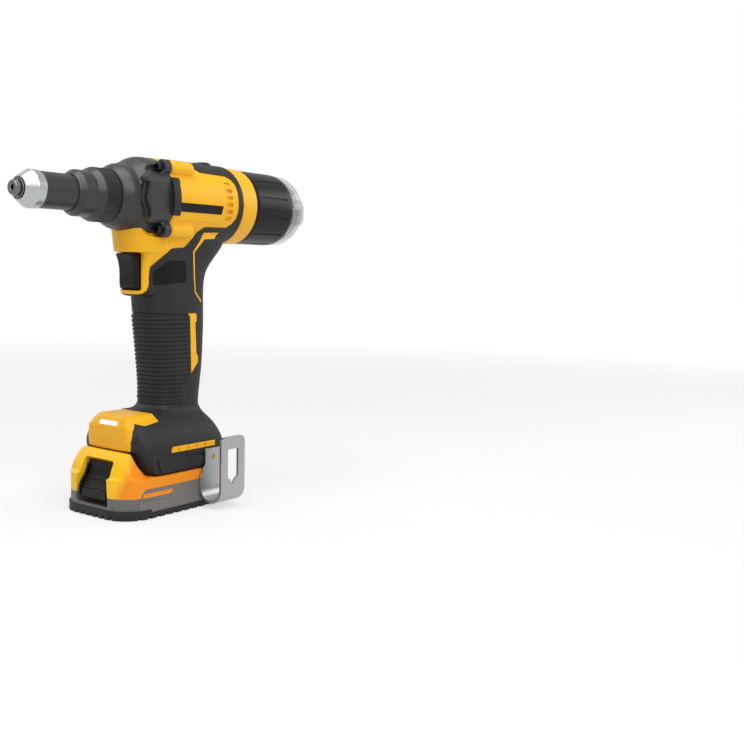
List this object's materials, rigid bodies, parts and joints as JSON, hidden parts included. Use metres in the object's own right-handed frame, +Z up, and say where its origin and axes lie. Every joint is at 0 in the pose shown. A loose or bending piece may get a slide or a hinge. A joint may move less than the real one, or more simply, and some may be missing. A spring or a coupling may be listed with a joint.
{
  "type": "battery rivet tool",
  "caption": "Pistol-grip battery riveter: a nose that pulls blind rivets, a brushless motor with a ball screw, a rear mandrel cup and a slide-on battery.",
  "frame": {"origin": "middle of the battery's bottom face, which the tool stands on", "axes": "+X forward along the barrel to the nose, +Y to the tool's left side, +Z up"},
  "size_m": [0.285, 0.0983, 0.2583],
  "materials": {
    "yellow_plastic": "satin moulded",
    "orange_plastic": "satin moulded",
    "black_plastic": "satin moulded",
    "grey_plastic": "satin moulded",
    "rubber": "textured",
    "dark_metal": "satin coated",
    "bright_metal": "turned",
    "steel": "ground",
    "copper": "enamelled wire",
    "brass": "plated",
    "clear_plastic": "clear polished",
    "lamp_white": "diffuse",
    "cell_foil": "foil pouch"
  },
  "bodies": {
    "tool": {"nose_piece": "steel", "nose_cone": "bright_metal", "nose_tube": "dark_metal", "nose_adapter": "dark_metal", "gear_case": "black_plastic", "case_screws": "dark_metal", "thrust_bearing": "steel", "nut_bearing": "steel", "ring_gear": "steel", "gear_plate": "bright_metal", "front_bearing": "steel", "stator": "steel", "windings": "copper", "rear_bearing": "steel", "end_bell": "black_plastic", "mandrel_tube": "steel", "tail_ring": "yellow_plastic", "left_housing": "yellow_plastic", "right_housing": "yellow_plastic", "left_grip": "rubber", "right_grip": "rubber", "side_bumpers": "rubber", "housing_screws": "dark_metal", "trigger_spring": "steel", "switch_body": "black_plastic", "control_module": "grey_plastic", "terminal_block": "black_plastic", "terminal_blades": "brass", "lamp_lens": "lamp_white", "foot_strips": "yellow_plastic", "belt_hook": "steel", "hook_screw": "brass"},
    "pull_head": {"jaw_case": "steel", "ball_screw": "steel", "jaw_spring": "steel"},
    "pusher": {"jaw_pusher": "steel"},
    "jaw_one": {"jaw_1": "steel"},
    "jaw_two": {"jaw_2": "steel"},
    "jaw_three": {"jaw_3": "steel"},
    "carrier": {"ball_nut": "steel", "planet_pins": "steel"},
    "planet_one": {"planet_1": "steel"},
    "planet_two": {"planet_2": "steel"},
    "planet_three": {"planet_3": "steel"},
    "rotor": {"rotor_shaft": "steel", "rotor_core": "steel", "rotor_magnets": "dark_metal", "sun_gear": "steel", "cooling_fan": "black_plastic"},
    "collar": {"knurled_collar": "dark_metal"},
    "cup": {"mandrel_cup": "black_plastic", "cup_seal": "rubber"},
    "cap": {"end_cap": "clear_plastic"},
    "trigger": {"trigger": "black_plastic"},
    "battery": {"battery_cover": "orange_plastic", "battery_case": "grey_plastic", "battery_pad": "black_plastic", "cell_stack": "cell_foil", "battery_rails": "black_plastic"},
    "latch": {"battery_latch": "black_plastic"}
  },
  "joints": [
    {"name": "rotor_spin", "type": "hinge", "parent": "tool", "child": "rotor", "pos_m": [-0.05, 0, 0.228], "axis": [1, 0, 0], "range_deg": [0, 9000]},
    {"name": "carrier_spin", "type": "hinge", "parent": "tool", "child": "carrier", "pos_m": [0.015, 0, 0.228], "axis": [1, 0, 0], "range_deg": [0, 1800]},
    {"name": "pull_stroke", "type": "slide", "parent": "tool", "child": "pull_head", "axis": [-1, 0, 0], "range_m": [0, 0.025]},
    {"name": "planet_one_spin", "type": "hinge", "parent": "carrier", "child": "planet_one", "pos_m": [-0.028, 0, 0.2145], "axis": [1, 0, 0], "range_deg": [-4800, 0]},
    {"name": "planet_two_spin", "type": "hinge", "parent": "carrier", "child": "planet_two", "pos_m": [-0.028, 0.01169, 0.23475], "axis": [1, 0, 0], "range_deg": [-4800, 0]},
    {"name": "planet_three_spin", "type": "hinge", "parent": "carrier", "child": "planet_three", "pos_m": [-0.028, -0.01169, 0.23475], "axis": [1, 0, 0], "range_deg": [-4800, 0]},
    {"name": "jaw_release", "type": "slide", "parent": "pull_head", "child": "pusher", "axis": [-1, 0, 0], "range_m": [0, 0.0025], "stiffness_N_per_m": 500, "springref_m": -0.003, "deforming": ["jaw_spring"]},
    {"name": "jaw_one_slide", "type": "slide", "parent": "pull_head", "child": "jaw_one", "axis": [-0.9857, 0.1685, 0], "range_m": [0, 0.00254]},
    {"name": "jaw_two_slide", "type": "slide", "parent": "pull_head", "child": "jaw_two", "axis": [-0.9857, -0.0842, 0.1459], "range_m": [0, 0.00254]},
    {"name": "jaw_three_slide", "type": "slide", "parent": "pull_head", "child": "jaw_three", "axis": [-0.9857, -0.0842, -0.1459], "range_m": [0, 0.00254]},
    {"name": "collar_turn", "type": "hinge", "parent": "tool", "child": "collar", "pos_m": [0.046, 0, 0.228], "axis": [1, 0, 0], "range_deg": [0, 90]},
    {"name": "cup_turn", "type": "hinge", "parent": "tool", "child": "cup", "pos_m": [-0.1, 0, 0.228], "axis": [1, 0, 0], "range_deg": [0, 45]},
    {"name": "cap_turn", "type": "hinge", "parent": "cup", "child": "cap", "pos_m": [-0.14, 0, 0.228], "axis": [1, 0, 0], "range_deg": [0, 60]},
    {"name": "trigger_pull", "type": "slide", "parent": "tool", "child": "trigger", "axis": [-1, 0, 0], "range_m": [0, 0.006], "stiffness_N_per_m": 400, "springref_m": -0.003, "deforming": ["trigger_spring"]},
    {"name": "battery_slide", "type": "slide", "parent": "tool", "child": "battery", "axis": [1, 0, 0], "range_m": [0, 0.09]},
    {"name": "latch_press", "type": "slide", "parent": "battery", "child": "latch", "axis": [0, 0, -1], "range_m": [0, 0.004], "stiffness_N_per_m": 500, "springref_m": -0.003}
  ],
  "couplings": [
    {"joint": "rotor_spin", "follows": "pull_stroke", "rad_per_m": 6283.2},
    {"joint": "carrier_spin", "follows": "pull_stroke", "rad_per_m": 1256.6},
    {"joint": "planet_one_spin", "follows": "pull_stroke", "rad_per_m": -3351},
    {"joint": "planet_two_spin", "follows": "pull_stroke", "rad_per_m": -3351},
    {"joint": "planet_three_spin", "follows": "pull_stroke", "rad_per_m": -3351},
    {"joint": "jaw_one_slide", "follows": "jaw_release", "ratio": 1.0145},
    {"joint": "jaw_two_slide", "follows": "jaw_release", "ratio": 1.0145},
    {"joint": "jaw_three_slide", "follows": "jaw_release", "ratio": 1.0145}
  ]
}
